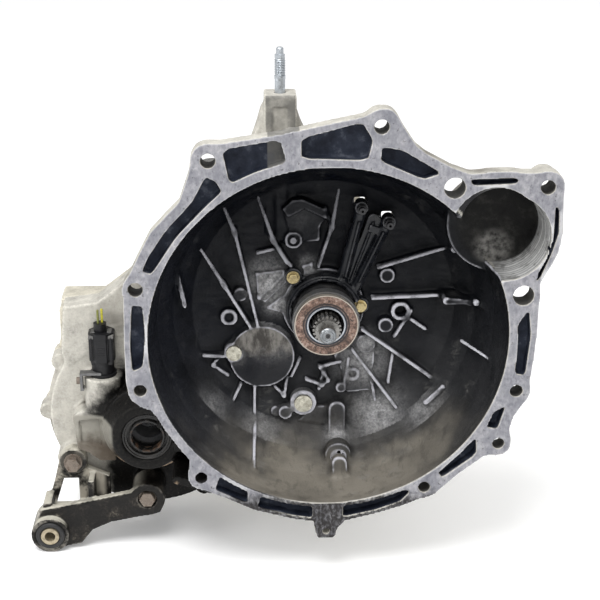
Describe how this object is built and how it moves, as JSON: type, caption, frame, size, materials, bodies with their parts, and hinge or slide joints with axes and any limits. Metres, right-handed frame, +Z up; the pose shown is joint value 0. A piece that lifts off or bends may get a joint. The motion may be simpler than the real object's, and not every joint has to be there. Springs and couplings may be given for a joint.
{
  "type": "manual transmission",
  "caption": "Transverse manual transmission with an open clutch bell, release bearing, gear train, differential output, mounting bracket and stud.",
  "frame": {"origin": "point on the input shaft axis in the plane of the engine mounting face", "axes": "-Y leaves the mounting face towards the engine, +Y runs into the gear case, +Z is up as it is installed, +X is right seen from the engine"},
  "size_m": [0.479, 0.3692, 0.473],
  "materials": {
    "bell_casting": "cast skin with a machined mounting face, oily inside",
    "case_casting": "cast skin, dirty",
    "bracket_casting": "cast skin under grease",
    "black_rubber": "matt",
    "black_plastic": "fine texture",
    "zinc_plate": "passivated zinc",
    "brass": "satin",
    "wire_sleeve": "smooth",
    "rusty_steel": "light rust",
    "cast_iron": "as cast",
    "dark_steel": "oiled",
    "plain_steel": "worn",
    "machined_steel": "ground and oiled"
  },
  "bodies": {
    "housing": {"clutch_housing": "bell_casting", "gear_case": "case_casting", "end_cover": "case_casting", "case_bolts": "plain_steel", "mount_stud": "zinc_plate", "mount_bracket": "bracket_casting", "bracket_bolts": "plain_steel", "bush_rubber": "black_rubber", "bush_sleeve": "plain_steel", "slave_cylinder": "black_plastic", "slave_bolts": "zinc_plate", "slave_unions": "plain_steel", "shaft_bearings": "machined_steel", "diff_bearings": "machined_steel", "oil_seals": "black_rubber", "idler_shaft": "machined_steel", "fork_rail": "machined_steel", "speed_sensor": "black_plastic", "sensor_clamp": "dark_steel", "clamp_screw": "plain_steel", "sensor_wires": "wire_sleeve", "core_plugs": "plain_steel", "oil_plugs": "plain_steel", "breather": "plain_steel", "reverse_light_switch": "zinc_plate"},
    "release_slide": {"slave_piston": "black_plastic", "release_boot": "black_rubber", "release_race_outer": "dark_steel"},
    "release_race": {"release_race_inner": "rusty_steel", "release_balls": "machined_steel"},
    "input": {"input_shaft": "machined_steel", "input_gear_third": "machined_steel", "input_gear_fourth": "machined_steel", "input_gear_fifth": "machined_steel"},
    "output": {"output_shaft": "machined_steel", "synchro_hubs": "machined_steel", "synchro_rings": "brass"},
    "sleeve_a": {"sleeve_first_second": "machined_steel"},
    "sleeve_b": {"sleeve_third_fourth": "machined_steel"},
    "sleeve_c": {"sleeve_fifth_reverse": "machined_steel"},
    "fork_a": {"fork_first_second": "brass"},
    "fork_b": {"fork_third_fourth": "brass"},
    "fork_c": {"fork_fifth_reverse": "brass"},
    "selector": {"selector_shaft": "machined_steel", "selector_lever": "zinc_plate"},
    "free_first": {"gear_first": "machined_steel"},
    "free_second": {"gear_second": "machined_steel"},
    "free_third": {"gear_third": "machined_steel"},
    "free_fourth": {"gear_fourth": "machined_steel"},
    "free_fifth": {"gear_fifth": "machined_steel"},
    "free_reverse": {"gear_reverse": "machined_steel"},
    "idler": {"reverse_idler": "machined_steel"},
    "differential": {"diff_case": "cast_iron", "ring_gear": "machined_steel", "ring_gear_bolts": "machined_steel", "diff_pin": "machined_steel"},
    "side_engine": {"side_gear_engine_side": "machined_steel"},
    "side_case": {"side_gear_case_side": "machined_steel"},
    "spider_a": {"spider_gear_inner": "machined_steel"},
    "spider_b": {"spider_gear_outer": "machined_steel"}
  },
  "joints": [
    {"name": "input_spin", "type": "hinge", "parent": "housing", "child": "input", "pos_m": [0, 0.1, 0], "axis": [0, 1, 0], "continuous": true},
    {"name": "gear_first_spin", "type": "hinge", "parent": "housing", "child": "free_first", "pos_m": [-0.0578, 0.2, -0.0478], "axis": [0, 1, 0], "continuous": true},
    {"name": "gear_second_spin", "type": "hinge", "parent": "housing", "child": "free_second", "pos_m": [-0.0578, 0.2, -0.0478], "axis": [0, 1, 0], "continuous": true},
    {"name": "gear_third_spin", "type": "hinge", "parent": "housing", "child": "free_third", "pos_m": [-0.0578, 0.2, -0.0478], "axis": [0, 1, 0], "continuous": true},
    {"name": "gear_fourth_spin", "type": "hinge", "parent": "housing", "child": "free_fourth", "pos_m": [-0.0578, 0.2, -0.0478], "axis": [0, 1, 0], "continuous": true},
    {"name": "gear_fifth_spin", "type": "hinge", "parent": "housing", "child": "free_fifth", "pos_m": [-0.0578, 0.2, -0.0478], "axis": [0, 1, 0], "continuous": true},
    {"name": "gear_reverse_spin", "type": "hinge", "parent": "housing", "child": "free_reverse", "pos_m": [-0.0578, 0.2, -0.0478], "axis": [0, 1, 0], "continuous": true},
    {"name": "idler_spin", "type": "hinge", "parent": "housing", "child": "idler", "pos_m": [0.01507, 0.326, -0.04346], "axis": [0, 1, 0], "continuous": true},
    {"name": "differential_spin", "type": "hinge", "parent": "housing", "child": "differential", "pos_m": [-0.16561, 0.129, -0.11105], "axis": [0, 1, 0], "continuous": true},
    {"name": "output_spin", "type": "hinge", "parent": "housing", "child": "output", "pos_m": [-0.0578, 0.2, -0.0478], "axis": [0, 1, 0], "continuous": true},
    {"name": "side_gear_engine_spin", "type": "hinge", "parent": "differential", "child": "side_engine", "pos_m": [-0.16561, 0.129, -0.11105], "axis": [0, 1, 0], "continuous": true},
    {"name": "side_gear_case_spin", "type": "hinge", "parent": "differential", "child": "side_case", "pos_m": [-0.16561, 0.129, -0.11105], "axis": [0, 1, 0], "continuous": true},
    {"name": "spider_inner_spin", "type": "hinge", "parent": "differential", "child": "spider_a", "pos_m": [-0.16561, 0.129, -0.11105], "axis": [1, 0, 0], "continuous": true},
    {"name": "spider_outer_spin", "type": "hinge", "parent": "differential", "child": "spider_b", "pos_m": [-0.16561, 0.129, -0.11105], "axis": [1, 0, 0], "continuous": true},
    {"name": "fork_first_second_slide", "type": "slide", "parent": "housing", "child": "fork_a", "axis": [0, 1, 0], "range_m": [-0.007, 0.007]},
    {"name": "sleeve_first_second_slide", "type": "slide", "parent": "output", "child": "sleeve_a", "axis": [0, 1, 0], "range_m": [-0.007, 0.007]},
    {"name": "fork_third_fourth_slide", "type": "slide", "parent": "housing", "child": "fork_b", "axis": [0, 1, 0], "range_m": [-0.007, 0.007]},
    {"name": "sleeve_third_fourth_slide", "type": "slide", "parent": "output", "child": "sleeve_b", "axis": [0, 1, 0], "range_m": [-0.007, 0.007]},
    {"name": "fork_fifth_reverse_slide", "type": "slide", "parent": "housing", "child": "fork_c", "axis": [0, 1, 0], "range_m": [-0.007, 0.007]},
    {"name": "sleeve_fifth_reverse_slide", "type": "slide", "parent": "output", "child": "sleeve_c", "axis": [0, 1, 0], "range_m": [-0.007, 0.007]},
    {"name": "selector_turn", "type": "hinge", "parent": "housing", "child": "selector", "pos_m": [-0.104, 0.236, 0.09], "axis": [0, 0, 1], "range_deg": [-20, 20]},
    {"name": "release_slide", "type": "slide", "parent": "housing", "child": "release_slide", "axis": [0, 1, 0], "range_m": [-0.004, 0.01], "deforming": ["release_boot"]},
    {"name": "release_race_spin", "type": "hinge", "parent": "release_slide", "child": "release_race", "pos_m": [0, 0.048, 0], "axis": [0, 1, 0], "continuous": true}
  ],
  "couplings": [
    {"joint": "gear_first_spin", "follows": "input_spin", "ratio": -0.2931},
    {"joint": "gear_second_spin", "follows": "input_spin", "ratio": -0.47059},
    {"joint": "gear_third_spin", "follows": "input_spin", "ratio": -0.70455},
    {"joint": "gear_fourth_spin", "follows": "input_spin", "ratio": -0.97368},
    {"joint": "gear_fifth_spin", "follows": "input_spin", "ratio": -1.3438},
    {"joint": "idler_spin", "follows": "input_spin", "ratio": -0.48387},
    {"joint": "gear_reverse_spin", "follows": "input_spin", "ratio": 0.35714},
    {"joint": "output_spin", "follows": "differential_spin", "ratio": -2.125},
    {"joint": "side_gear_case_spin", "follows": "side_gear_engine_spin", "ratio": -1},
    {"joint": "spider_inner_spin", "follows": "side_gear_engine_spin", "ratio": 1.6},
    {"joint": "spider_outer_spin", "follows": "side_gear_engine_spin", "ratio": -1.6},
    {"joint": "sleeve_first_second_slide", "follows": "fork_first_second_slide", "ratio": 1},
    {"joint": "sleeve_third_fourth_slide", "follows": "fork_third_fourth_slide", "ratio": 1},
    {"joint": "sleeve_fifth_reverse_slide", "follows": "fork_fifth_reverse_slide", "ratio": 1}
  ]
}
